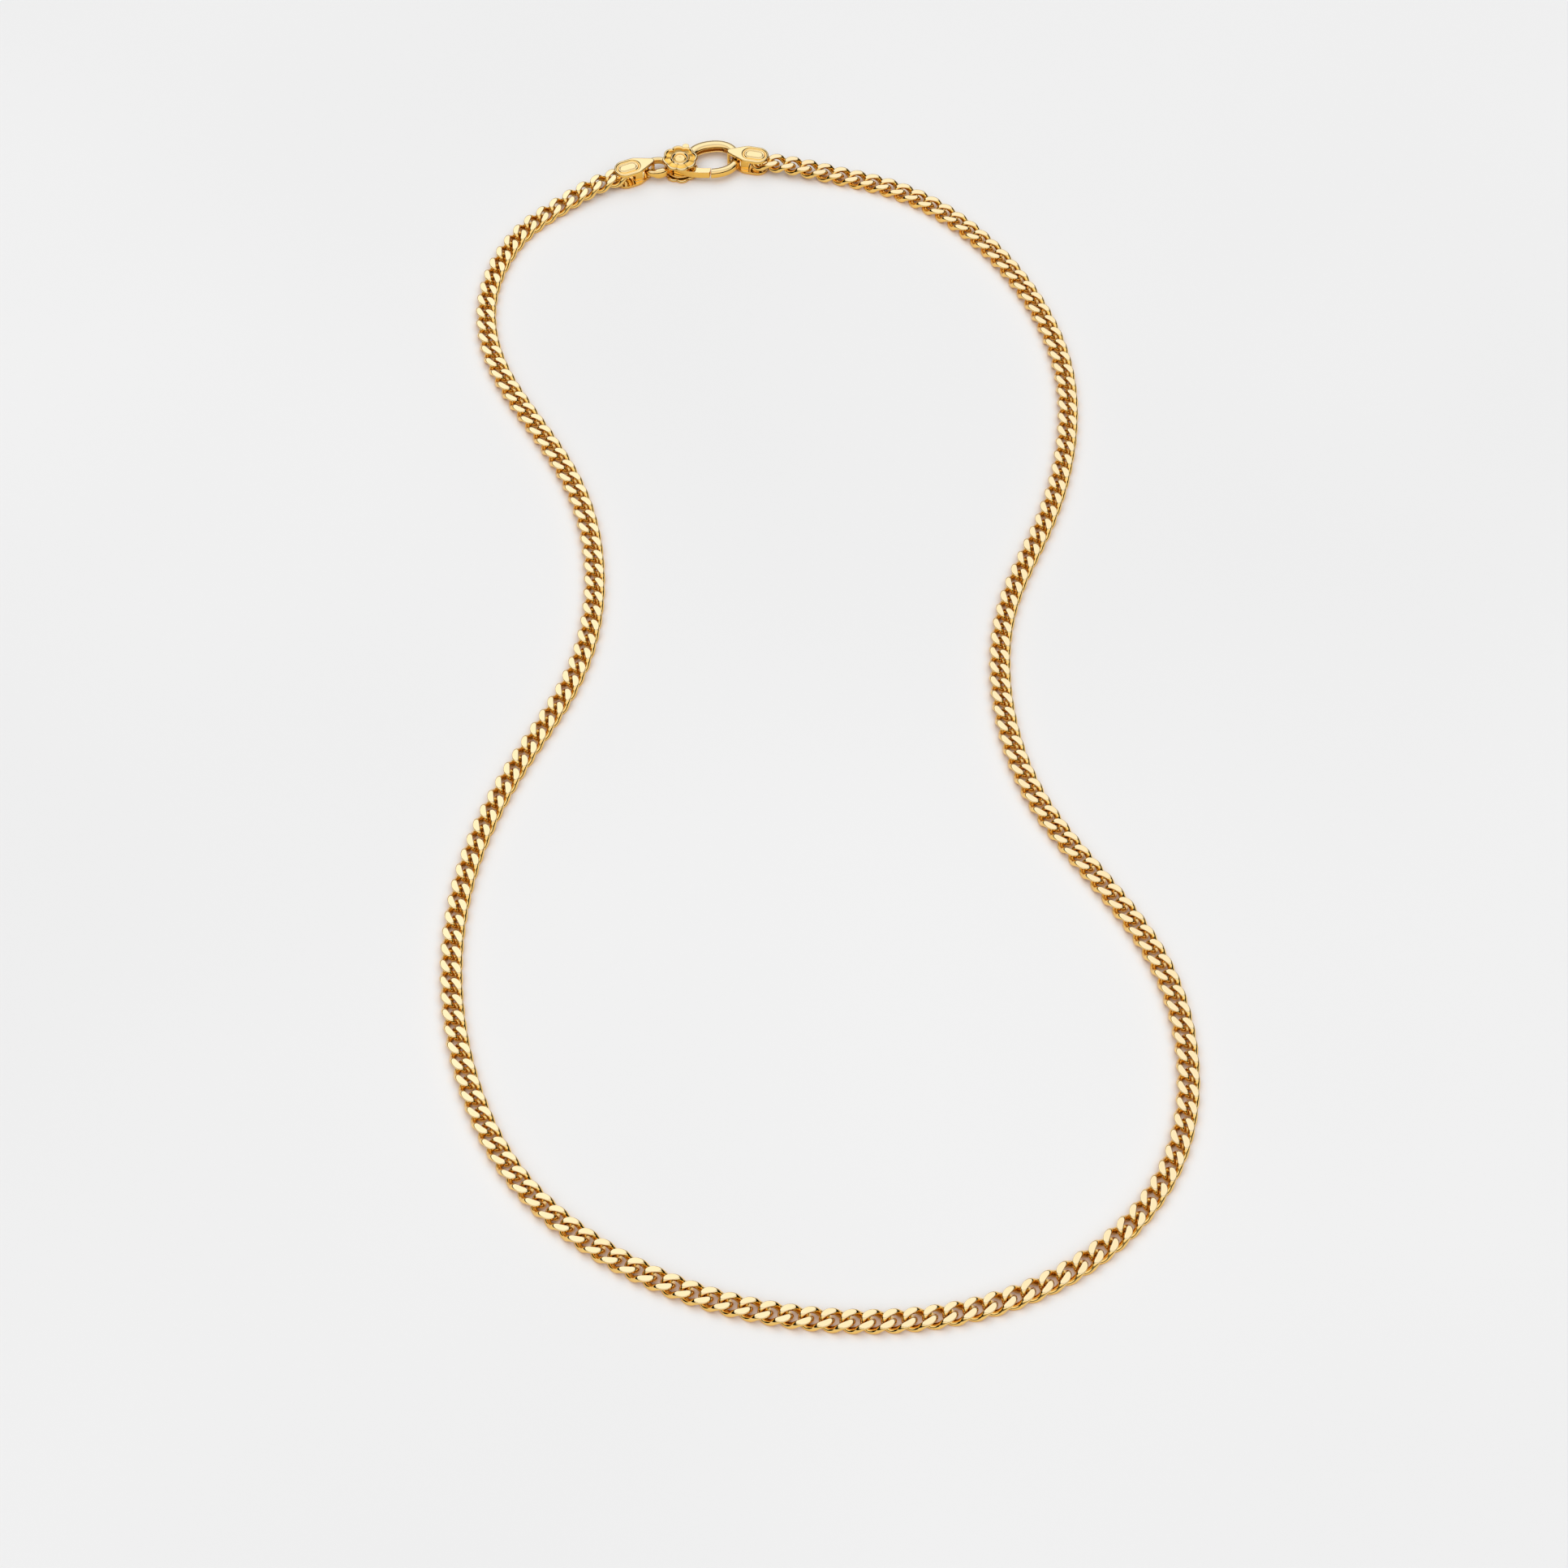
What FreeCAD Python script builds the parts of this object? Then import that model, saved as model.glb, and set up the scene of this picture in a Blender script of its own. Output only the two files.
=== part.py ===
import FreeCAD, Part
import math
import os

# A curb chain necklace lying open on a flat surface, closed by a lever clasp.
# Millimetres, +Z up. The origin is the middle of the necklace's bounding box, on the surface.

# Chain wire and link. A link's own x runs along the chain, y across it, z up.
WIRE = 1.0              # wire diameter
LINK_WIDTH = 3.5        # outside width across the chain
LINK_REACH = 2.1        # from a link's centre to the middle of the wire at its end
END_LEAN = 55.0         # lean of the wire where it rounds an end, in degrees
SIDE_LEAN = 50.0        # slope of the wire half way along a side, in degrees
END_BEND = 1.2          # tangent length that shapes the round end
FLAT_HEIGHT = 0.84      # from the link's middle to the flats cut on it, above and below

# The chain's route, from the link in the left cap round the front to the link in the right cap.
ROUTE = [
    (-33.0, 109.2), (-35.4, 108.0), (-41.5, 103.8), (-48.0, 98.0), (-52.4, 90.3), (-54.7, 79.3),
    (-52.3, 65.1), (-45.5, 51.8), (-38.2, 37.3), (-34.6, 19.6), (-36.9, -0.5), (-45.2, -18.9),
    (-51.9, -38.0), (-53.5, -58.2), (-49.7, -78.1), (-41.9, -93.6), (-31.6, -103.7),
    (-16.4, -112.0), (0.5, -115.9), (15.2, -115.8), (31.8, -110.8), (43.5, -102.3),
    (51.6, -90.4), (54.8, -73.4), (51.9, -56.4), (43.7, -41.1), (34.9, -26.1),
    (30.1, -6.5), (31.8, 13.6), (38.0, 29.9), (42.3, 46.7), (42.7, 64.0),
    (38.0, 80.7), (29.0, 95.5), (15.7, 106.6), (2.2, 111.0), (-4.5, 112.35), (-7.4, 112.85),
]
RISE_LENGTH = 15.0      # stretch at each end of the chain that climbs from the surface to its cap

# Links in each node of an arm, counted from its cap. The right arm has one link more at the front.
LINKS_PER_NODE = [5, 5, 5, 4, 4, 4, 4, 4, 4, 3, 4, 4, 4, 4, 4, 4, 3, 4, 5, 5, 4, 4, 4, 4]
EXTRA_RIGHT_LINKS = 1

# Clasp, in its own frame: origin under the rosettes' centre, x towards the hook, z up.
CLASP_X = -22.3
CLASP_Y = 112.4
CLASP_TURN = 10.0       # turn of the clasp about +Z, in degrees
CLASP_HEIGHT = 3.3
CLASP_MIDDLE = CLASP_HEIGHT / 2
RING_X = 5.8            # centre of the hook's ring
RING_Y = 0.2
RING_OUT_X = 4.9        # half sizes of the ring outside
RING_OUT_Y = 4.1
RING_END_RADIUS = 3.2   # radius of the oval's two ends
RING_WIDTH = 1.5
RING_HEIGHT = 1.6
RING_ROUND = 0.45
RING_OPENING_Y = -0.2   # in front of this line the lever takes the ring's place
RING_ROOT_X = 3.6       # the ring's hub end is cut away up to here, in front of the line below
RING_ROOT_Y = 0.35
TAIL_X = -4.1           # centre of the tail loop
TAIL_OUT_X = 2.5
TAIL_OUT_Y = 2.15
TAIL_END_RADIUS = 1.9
TAIL_WIDTH = 1.0
HUB_RADIUS = 2.5
HUB_INSIDE = 1.85
CHEEK_LOW = 0.55        # underside of the lower cheek, and the lower rosette's thickness
CHEEK = 0.4
CAVITY_LOW = CHEEK_LOW + CHEEK
CAVITY_HIGH = CLASP_HEIGHT - CAVITY_LOW
TAIL_SPAN = (119.0, 215.0)     # wall of the hub on the tail's side, in degrees
ROOT_SPAN = (8.0, 52.0)        # wall of the hub where the ring grows out of it

# Lever: it turns on an upright pin inside the hub.
PIVOT_X = -0.5
PIVOT_Y = -0.7
EYE_RADIUS = 0.95
LEVER_GAP = 0.05        # clearance above and below the lever in the hub
LEVER_PIN_RADIUS = 0.35
PIN_CLEARANCE = 0.04
TIP_REACH = 5.9         # from the pin to the rounded tip
TIP_GAP = 0.1
TAB_X = 1.6             # thumb tab behind the rosettes
TAB_Y = 3.7
TAB_RADIUS = 0.6
STEM_HALF_WIDTH = 0.4   # half width of the stem from the pin to the tab
LEVER_OUTSIDE = [(-1.35, -1.3), (1.8, -3.0), (4.75, -3.62)]    # heel, bow and tip of the arm
LEVER_INSIDE = [(5.1, -2.45), (2.2, -1.75), (-0.1, -0.1)]      # and back along its inner side
SPRING_LINE = [(-1.55, 0.85), (-0.95, 1.35), (-0.15, 1.15)]    # foot, crown and tip of the leaf
SPRING_STRIP = 0.12
SPRING_HALF_HEIGHT = 0.4

# Rosettes: two round scalloped plates that cover the hub.
ROSETTE_RADIUS = 3.15
ROSETTE_LOBES = 8
VALLEY_SHARE = 0.9      # radius between two lobes, as a share of the radius at a lobe
CHANNEL_OUTSIDE = 0.78  # the ring-shaped channel in the upper rosette, as shares of its radius
CHANNEL_INSIDE = 0.5
CHANNEL_DEPTH = 0.15

# End caps, in their own frame: origin under the eye's centre, x towards the chain, z up.
CAP_HEIGHT = CLASP_HEIGHT
CAP_PLATE = 0.55        # thickness of the upper and lower plate
CAP_RIM = 0.25          # rounding of the plates' rims
CAP_HALF_WIDTH = 1.95
CAP_END = 5.8           # far end of the plates
CAP_NOSE = -1.6         # tip of the nose
NOSE_RADIUS = 0.62
SHOULDER_RADIUS = 2.2
SHOULDER_X = 2.2
EYE_HALF_LENGTH = 1.1   # half length of the cross hole that the clasp's loop passes through
EYE_CORNER = 0.6
STRAP_HALF_WIDTH = 0.4  # half width of the nose where it wraps the loop
BLOCK_END = 2.5         # the block between the plates ends here and the mouth begins
BLOCK_HALF_WIDTH = 1.3
CAP_PIN_X = 4.45
CAP_PIN_RADIUS = 0.38
CAP_PIN_SEAT = 0.25     # depth of the pin in each plate
BORDER_X = 3.3          # centre and half sizes of the oval groove on the upper plate
BORDER_HALF_LENGTH = 2.2
BORDER_HALF_WIDTH = 1.5
BORDER_DEPTH = 0.12
BORDER_WIDTH = 0.4
LEFT_EYE = (-6.05, 0.0)     # eye centres, in the clasp's frame
RIGHT_EYE = (9.92, -0.2)
LEFT_CAP_TURN = 203.6
RIGHT_CAP_TURN = -12.0


def vector(x, y, z=0.0):
    return FreeCAD.Vector(x, y, z)


UP = vector(0, 0, 1)


def save(name, solids):
    """Write one node: a single solid, or a group of separate ones."""
    shape = solids[0] if len(solids) == 1 else Part.makeCompound(solids)
    shape.exportStep("parts/" + name + ".step")


def placed(shape, x, y, turn):
    """A copy of a shape, turned about +Z by some degrees and then moved to (x, y)."""
    copy = shape.copy()
    copy.rotate(vector(0, 0), UP, turn)
    copy.translate(vector(x, y))
    return copy


def in_clasp(shape):
    return placed(shape, CLASP_X, CLASP_Y, CLASP_TURN)


def clasp_point(x, y):
    """A point of the clasp's frame, in the necklace's frame."""
    turn = math.radians(CLASP_TURN)
    return (CLASP_X + x * math.cos(turn) - y * math.sin(turn),
            CLASP_Y + x * math.sin(turn) + y * math.cos(turn))


def column(x, y, radius, low, high):
    return Part.makeCylinder(radius, high - low, vector(x, y, low))


def block(low, high):
    size = high - low
    return Part.makeBox(size.x, size.y, size.z, low)


def extruded(edges, low, high):
    face = Part.Face(Part.Wire(edges))
    face.translate(vector(0, 0, low))
    return face.extrude(vector(0, 0, high - low))


# ---------------------------------------------------------------- chain

def tangent_arc(start, heading, end):
    """The arc that leaves start along heading and reaches end."""
    chord = end - start
    inward = chord - heading * chord.dot(heading)
    inward.normalize()
    radius = chord.dot(chord) / (2 * chord.dot(inward))
    half = math.atan2(chord.dot(inward), chord.dot(heading))
    middle = start + inward * (radius * (1 - math.cos(half))) + heading * (radius * math.sin(half))
    return Part.Arc(start, middle, end).toShape()


def quarter_of_link():
    """Two tangent arcs, from the middle of a link's end to the middle of its side."""
    lean = math.radians(END_LEAN)
    slope = math.radians(SIDE_LEAN)
    end = vector(LINK_REACH, 0)
    side = vector(0, (LINK_WIDTH - WIRE) / 2)
    leaving = vector(0, math.cos(lean), -math.sin(lean))
    arriving = vector(-math.cos(slope), 0, math.sin(slope))
    across = side - end
    far_bend = (across.dot(across) / 2 - END_BEND * across.dot(leaving)) / (
        across.dot(arriving) + END_BEND * (1 - leaving.dot(arriving)))
    near = end + leaving * END_BEND
    far = side - arriving * far_bend
    joint = (near * far_bend + far * END_BEND) * (1 / (END_BEND + far_bend))
    heading = far - near
    heading.normalize()
    return [tangent_arc(end, leaving, joint), tangent_arc(joint, heading, side)], end, leaving


def turned(edge, axis):
    copy = edge.copy()
    copy.rotate(vector(0, 0), axis, 180)
    return copy


def curb_link():
    """One twisted link: round wire on a closed line of eight arcs, cut flat above and below."""
    quarter, end, leaving = quarter_of_link()
    half = quarter + [turned(edge, vector(0, 1)) for edge in reversed(quarter)]
    path = Part.Wire(Part.__sortEdges__(half))
    section = Part.Wire([Part.makeCircle(WIRE / 2, end, leaving)])
    side = path.makePipeShell([section], True, False)
    other_side = turned(side, vector(1, 0))
    wire = side.fuse(other_side).removeSplitter()
    slab = block(vector(-2 * LINK_REACH, -LINK_WIDTH, -FLAT_HEIGHT),
                 vector(2 * LINK_REACH, LINK_WIDTH, FLAT_HEIGHT))
    return wire.common(slab).Solids[0]


def climbed_height(distance, length):
    """Height of the chain's middle: low on the surface, and rising to the cap at either end."""
    from_end = min(distance, length - distance, RISE_LENGTH)
    share = 0.5 + 0.5 * math.cos(math.pi * from_end / RISE_LENGTH)
    return FLAT_HEIGHT + (CLASP_MIDDLE - FLAT_HEIGHT) * share


def link_frames():
    """Middle and direction of every link, evenly spaced from the left cap round to the right one."""
    curve = Part.BSplineCurve()
    curve.interpolate(Points=[vector(x, y) for x, y in ROUTE])
    edge = curve.toShape()
    count = 2 * sum(LINKS_PER_NODE) + EXTRA_RIGHT_LINKS
    pitch = edge.Length / (count - 1)
    line = [vector(p.x, p.y, climbed_height(i * pitch, edge.Length))
            for i, p in enumerate(edge.discretize(Number=count))]
    frames = []
    for i, middle in enumerate(line):
        direction = line[min(i + 1, count - 1)] - line[max(i - 1, 0)]
        direction.normalize()
        lift = abs(direction.z) * (LINK_REACH + WIRE / 2)
        frames.append((middle + UP * lift, direction))
    return frames


def chain_nodes():
    """Names and the links of every chain node: {name: [link numbers]}, each arm from its cap."""
    total = 2 * sum(LINKS_PER_NODE) + EXTRA_RIGHT_LINKS
    nodes = {}
    start = 0
    for k, count in enumerate(LINKS_PER_NODE):
        extra = EXTRA_RIGHT_LINKS if k == len(LINKS_PER_NODE) - 1 else 0
        nodes["links_left_%02d" % (k + 1)] = list(range(start, start + count))
        nodes["links_right_%02d" % (k + 1)] = [total - 1 - i for i in range(start, start + count + extra)]
        start += count
    return nodes


def make_chain():
    link = curb_link()
    frames = link_frames()
    for name, numbers in chain_nodes().items():
        solids = []
        for i in numbers:
            middle, direction = frames[i]
            yaw = FreeCAD.Rotation(UP, math.degrees(math.atan2(direction.y, direction.x)))
            pitch = FreeCAD.Rotation(vector(0, 1), -math.degrees(math.asin(direction.z)))
            copy = link.copy()
            copy.Placement = FreeCAD.Placement(middle, yaw * pitch)
            solids.append(copy)
        save(name, solids)


# ---------------------------------------------------------------- clasp

def oval(x, y, half_x, half_y, end_radius, inset):
    """A closed oval of four tangent arcs about (x, y), set in by some distance."""
    side_radius = ((half_x - end_radius) ** 2 + half_y ** 2 - end_radius ** 2) / (2 * (half_y - end_radius))
    end_at = half_x - end_radius
    side_at = side_radius - half_y
    joint_angle = math.atan2(side_at, end_at)
    end_r = end_radius - inset
    side_r = side_radius - inset
    joint = (end_at + end_r * math.cos(joint_angle), end_r * math.sin(joint_angle))
    east, north = vector(x + end_at + end_r, y), vector(x, y + side_r - side_at)
    west, south = vector(x - end_at - end_r, y), vector(x, y - side_r + side_at)
    north_east, north_west = vector(x + joint[0], y + joint[1]), vector(x - joint[0], y + joint[1])
    south_east, south_west = vector(x + joint[0], y - joint[1]), vector(x - joint[0], y - joint[1])
    return Part.Wire([Part.Arc(south_east, east, north_east).toShape(),
                      Part.Arc(north_east, north, north_west).toShape(),
                      Part.Arc(north_west, west, south_west).toShape(),
                      Part.Arc(south_west, south, south_east).toShape()])


def oval_ring(x, y, half_x, half_y, end_radius, width):
    """A flat-lying oval ring of one width at mid height, with rounded edges."""
    outside = oval(x, y, half_x, half_y, end_radius, 0)
    inside = oval(x, y, half_x, half_y, end_radius, width)
    face = Part.Face(outside).cut(Part.Face(inside)).Faces[0]
    face.translate(vector(0, 0, CLASP_MIDDLE - RING_HEIGHT / 2))
    ring = face.extrude(vector(0, 0, RING_HEIGHT))
    rims = [edge for edge in ring.Edges if edge.BoundBox.ZLength < 1e-6]
    return ring.makeFillet(RING_ROUND, rims)


def hub_wall(span):
    """An upright wall of the hub between two angles."""
    low, high = span
    height = CAVITY_HIGH - CAVITY_LOW
    whole = Part.makeCylinder(HUB_RADIUS, height, vector(0, 0, CAVITY_LOW), UP, high - low)
    whole.rotate(vector(0, 0), UP, low)
    return whole.cut(column(0, 0, HUB_INSIDE, CAVITY_LOW, CAVITY_HIGH))


def lever_swing(reach):
    """The disc that the lever's tip stays inside."""
    return column(PIVOT_X, PIVOT_Y, reach, 0, CLASP_HEIGHT)


def make_clasp_body():
    """Hub with two cheeks, the hook's ring, and the tail loop, in one casting."""
    ring = oval_ring(RING_X, RING_Y, RING_OUT_X, RING_OUT_Y, RING_END_RADIUS, RING_WIDTH)
    front = block(vector(-HUB_RADIUS, -2 * RING_OUT_Y, 0),
                  vector(RING_X + 2 * RING_OUT_X, RING_OPENING_Y, CLASP_HEIGHT))
    ring = ring.cut(lever_swing(TIP_REACH + TIP_GAP).common(front))
    ring = ring.cut(block(vector(0, -RING_OUT_Y, 0), vector(RING_ROOT_X, RING_ROOT_Y, CLASP_HEIGHT)))
    tail = oval_ring(TAIL_X, 0, TAIL_OUT_X, TAIL_OUT_Y, TAIL_END_RADIUS, TAIL_WIDTH)
    body = column(0, 0, HUB_RADIUS, CHEEK_LOW, CAVITY_LOW)
    body = body.fuse(column(0, 0, HUB_RADIUS, CAVITY_HIGH, CLASP_HEIGHT - CHEEK_LOW))
    body = body.fuse([hub_wall(TAIL_SPAN), hub_wall(ROOT_SPAN), ring, tail])
    body = body.cut(column(0, 0, HUB_INSIDE, CAVITY_LOW, CAVITY_HIGH))
    body = body.cut(column(PIVOT_X, PIVOT_Y, LEVER_PIN_RADIUS, 0, CLASP_HEIGHT))
    save("clasp_body", [in_clasp(body.removeSplitter().Solids[0])])


def arc_through(corners):
    return Part.Arc(*[vector(x, y) for x, y in corners]).toShape()


def line_between(first, last):
    return Part.LineSegment(vector(*first), vector(*last)).toShape()


def lever_outline():
    """Front arm from the eye to the rounded tip: a slightly bowed bar, wider at the tip."""
    return [arc_through(LEVER_OUTSIDE), line_between(LEVER_OUTSIDE[-1], LEVER_INSIDE[0]),
            arc_through(LEVER_INSIDE), line_between(LEVER_INSIDE[-1], LEVER_OUTSIDE[0])]


def make_lever():
    low = CAVITY_LOW + LEVER_GAP
    high = CAVITY_HIGH - LEVER_GAP
    eye = column(PIVOT_X, PIVOT_Y, EYE_RADIUS, low, high)
    arm = extruded(lever_outline(), low, high)
    toward = math.degrees(math.atan2(TAB_Y - PIVOT_Y, TAB_X - PIVOT_X))
    length = math.hypot(TAB_X - PIVOT_X, TAB_Y - PIVOT_Y)
    stem = placed(block(vector(0, -STEM_HALF_WIDTH, low), vector(length, STEM_HALF_WIDTH, high)),
                  PIVOT_X, PIVOT_Y, toward)
    tab = column(TAB_X, TAB_Y, TAB_RADIUS, low, high)
    lever = eye.fuse([arm, stem, tab]).common(lever_swing(TIP_REACH))
    lever = lever.cut(column(PIVOT_X, PIVOT_Y, LEVER_PIN_RADIUS + PIN_CLEARANCE, 0, CLASP_HEIGHT))
    save("clasp_lever", [in_clasp(lever.removeSplitter().Solids[0])])


def make_lever_pin():
    pin = column(PIVOT_X, PIVOT_Y, LEVER_PIN_RADIUS, CHEEK_LOW, CLASP_HEIGHT - CHEEK_LOW)
    save("lever_pin", [in_clasp(pin)])


def make_lever_spring():
    """A bowed leaf between the hub's wall and the lever's stem."""
    lower_line = [(x, y - SPRING_STRIP) for x, y in SPRING_LINE]
    outline = [arc_through(SPRING_LINE), line_between(SPRING_LINE[-1], lower_line[-1]),
               arc_through(lower_line), line_between(lower_line[0], SPRING_LINE[0])]
    low = CLASP_MIDDLE - SPRING_HALF_HEIGHT
    save("lever_spring", [in_clasp(extruded(outline, low, CLASP_MIDDLE + SPRING_HALF_HEIGHT))])


def rosette(low, high):
    """A round plate with a scalloped edge."""
    step = 2 * math.pi / ROSETTE_LOBES
    valley = ROSETTE_RADIUS * VALLEY_SHARE
    edges = []
    for k in range(ROSETTE_LOBES):
        angles = [(k - 0.5) * step, k * step, (k + 0.5) * step]
        radii = [valley, ROSETTE_RADIUS, valley]
        points = [vector(r * math.cos(a), r * math.sin(a)) for a, r in zip(angles, radii)]
        edges.append(Part.Arc(*points).toShape())
    return extruded(edges, low, high)


def make_rosettes():
    """Upper rosette with a ring-shaped channel, lower one plain."""
    top = rosette(CLASP_HEIGHT - CHEEK_LOW, CLASP_HEIGHT)
    floor = CLASP_HEIGHT - CHANNEL_DEPTH
    channel = column(0, 0, ROSETTE_RADIUS * CHANNEL_OUTSIDE, floor, CLASP_HEIGHT)
    channel = channel.cut(column(0, 0, ROSETTE_RADIUS * CHANNEL_INSIDE, floor, CLASP_HEIGHT))
    save("rosette_top", [in_clasp(top.cut(channel))])
    save("rosette_bottom", [in_clasp(rosette(0, CHEEK_LOW))])


# ---------------------------------------------------------------- end caps

def cap_outline():
    """Round plate with shoulders that run straight to a small round nose, every join tangent."""
    nose_x = CAP_NOSE + NOSE_RADIUS
    rise = SHOULDER_RADIUS - NOSE_RADIUS
    drop = CAP_HALF_WIDTH - SHOULDER_RADIUS
    run = SHOULDER_X - nose_x
    angle = 0.0
    for _ in range(20):
        angle = math.asin((rise + drop * math.cos(angle)) / run)
    sine, cosine = math.sin(angle), math.cos(angle)
    middle = angle / 2
    shoulder = vector(SHOULDER_X, CAP_HALF_WIDTH)
    shoulder_mid = vector(SHOULDER_X - SHOULDER_RADIUS * math.sin(middle),
                          CAP_HALF_WIDTH - SHOULDER_RADIUS * (1 - math.cos(middle)))
    shoulder_end = vector(SHOULDER_X - SHOULDER_RADIUS * sine,
                          CAP_HALF_WIDTH - SHOULDER_RADIUS * (1 - cosine))
    nose_side = vector(nose_x - NOSE_RADIUS * sine, NOSE_RADIUS * cosine)
    far = vector(CAP_END - CAP_HALF_WIDTH, CAP_HALF_WIDTH)

    def mirrored(p):
        return vector(p.x, -p.y)

    return [Part.LineSegment(far, shoulder).toShape(),
            Part.Arc(shoulder, shoulder_mid, shoulder_end).toShape(),
            Part.LineSegment(shoulder_end, nose_side).toShape(),
            Part.Arc(nose_side, vector(CAP_NOSE, 0), mirrored(nose_side)).toShape(),
            Part.LineSegment(mirrored(nose_side), mirrored(shoulder_end)).toShape(),
            Part.Arc(mirrored(shoulder_end), mirrored(shoulder_mid), mirrored(shoulder)).toShape(),
            Part.LineSegment(mirrored(shoulder), mirrored(far)).toShape(),
            Part.Arc(mirrored(far), vector(CAP_END, 0), far).toShape()]


def stadium(x, half_length, half_width, low, high):
    """An upright oval plug with straight sides."""
    reach = half_length - half_width
    middle = block(vector(x - reach, -half_width, low), vector(x + reach, half_width, high))
    ends = [column(x - reach, 0, half_width, low, high), column(x + reach, 0, half_width, low, high)]
    return middle.fuse(ends).removeSplitter()


def cap_eye():
    """The cross hole that the clasp's loop passes through, rounded on the nose's side."""
    low, high = CAP_PLATE, CAP_HEIGHT - CAP_PLATE
    side = 2 * CAP_HALF_WIDTH
    inner = EYE_CORNER - EYE_HALF_LENGTH
    eye = block(vector(inner, -side, low), vector(EYE_HALF_LENGTH, side, high))
    eye = eye.fuse(block(vector(-EYE_HALF_LENGTH, -side, low + EYE_CORNER),
                         vector(inner, side, high - EYE_CORNER)))
    for z in (low + EYE_CORNER, high - EYE_CORNER):
        eye = eye.fuse(Part.makeCylinder(EYE_CORNER, 2 * side, vector(inner, -side, z), vector(0, 1)))
    return eye


def end_cap():
    """Two plates joined by a block and a nose that wraps the loop; the chain enters between them."""
    cap = extruded(cap_outline(), 0, CAP_HEIGHT)
    rims = [edge for edge in cap.Edges if abs(edge.BoundBox.ZLength) < 1e-6]
    cap = cap.makeFillet(CAP_RIM, rims)
    low, high = CAP_PLATE, CAP_HEIGHT - CAP_PLATE
    side = 2 * CAP_HALF_WIDTH
    cap = cap.cut(cap_eye())
    cap = cap.cut(block(vector(BLOCK_END, -side, low), vector(2 * CAP_END, side, high)))
    for start, end, half_width in ((2 * CAP_NOSE, EYE_HALF_LENGTH, STRAP_HALF_WIDTH),
                                   (EYE_HALF_LENGTH, BLOCK_END, BLOCK_HALF_WIDTH)):
        cap = cap.cut(block(vector(start, half_width, low), vector(end, side, high)))
        cap = cap.cut(block(vector(start, -side, low), vector(end, -half_width, high)))
    floor = CAP_HEIGHT - BORDER_DEPTH
    border = stadium(BORDER_X, BORDER_HALF_LENGTH, BORDER_HALF_WIDTH, floor, CAP_HEIGHT)
    border = border.cut(stadium(BORDER_X, BORDER_HALF_LENGTH - BORDER_WIDTH,
                                BORDER_HALF_WIDTH - BORDER_WIDTH, floor, CAP_HEIGHT))
    cap = cap.cut(border)
    cap = cap.cut(cap_pin())
    return cap.Solids[0]


def cap_pin():
    return column(CAP_PIN_X, 0, CAP_PIN_RADIUS, CAP_PLATE - CAP_PIN_SEAT,
                  CAP_HEIGHT - CAP_PLATE + CAP_PIN_SEAT)


def make_caps():
    cap = end_cap()
    for side, eye, turn in (("left", LEFT_EYE, LEFT_CAP_TURN), ("right", RIGHT_EYE, RIGHT_CAP_TURN)):
        x, y = clasp_point(*eye)
        save("end_cap_" + side, [placed(cap, x, y, turn)])
        save("cap_pin_" + side, [placed(cap_pin(), x, y, turn)])


def main():
    os.makedirs("parts", exist_ok=True)
    make_chain()
    make_clasp_body()
    make_lever()
    make_lever_pin()
    make_lever_spring()
    make_rosettes()
    make_caps()


main()
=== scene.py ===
import math

import bpy
import numpy as np
from mathutils import Matrix, Vector


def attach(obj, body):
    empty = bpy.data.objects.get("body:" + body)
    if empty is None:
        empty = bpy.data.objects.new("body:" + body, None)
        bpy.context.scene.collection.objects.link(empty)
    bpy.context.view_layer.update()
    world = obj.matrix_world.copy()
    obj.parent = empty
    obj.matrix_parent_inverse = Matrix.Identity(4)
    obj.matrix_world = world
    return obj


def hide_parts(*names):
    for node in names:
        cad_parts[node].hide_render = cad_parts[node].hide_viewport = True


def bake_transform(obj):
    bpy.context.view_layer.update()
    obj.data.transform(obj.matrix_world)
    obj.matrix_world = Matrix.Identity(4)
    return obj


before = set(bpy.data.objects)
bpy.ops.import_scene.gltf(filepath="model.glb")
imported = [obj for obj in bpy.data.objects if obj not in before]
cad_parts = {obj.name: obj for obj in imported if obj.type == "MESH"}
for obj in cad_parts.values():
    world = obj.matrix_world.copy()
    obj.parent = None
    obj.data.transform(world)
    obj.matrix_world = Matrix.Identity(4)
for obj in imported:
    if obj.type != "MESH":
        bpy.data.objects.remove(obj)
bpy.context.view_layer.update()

# A gold curb chain necklace with a lever clasp, on a pale surface in soft studio light.
# Shapes are worked out in millimetres, in the part's frame or the clasp's own, and scaled to metres last.
MM = 0.001

# Chain link: round wire on a closed twisted line of eight arcs, with a flat above and below.
WIRE = 1.0
LINK_WIDTH = 3.5
LINK_REACH = 2.1
END_LEAN = 55.0
SIDE_LEAN = 50.0
END_BEND = 1.2
FLAT_HEIGHT = 0.84
FLAT_EDGE = 0.05        # half width of the softened edge of each flat
RINGS_PER_LINK = 120
POINTS_PER_RING = 24

# Clasp, in its own frame: origin under the rosettes' centre, x towards the hook.
CLASP_X = -22.3
CLASP_Y = 112.4
CLASP_TURN = 10.0
CLASP_HEIGHT = 3.3
CLASP_MIDDLE = CLASP_HEIGHT / 2
CHEEK_LOW = 0.55
CHEEK = 0.4
CHEEK_EDGE = 0.08
HUB_RADIUS = 2.5
HUB_INSIDE = 1.85
WALL_SPANS = ((119, 215), (8, 52))      # the hub's walls, in degrees
SECTION_POWER = 2.6                     # of the bars' rounded section: 2 is round, more is squarer

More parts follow.
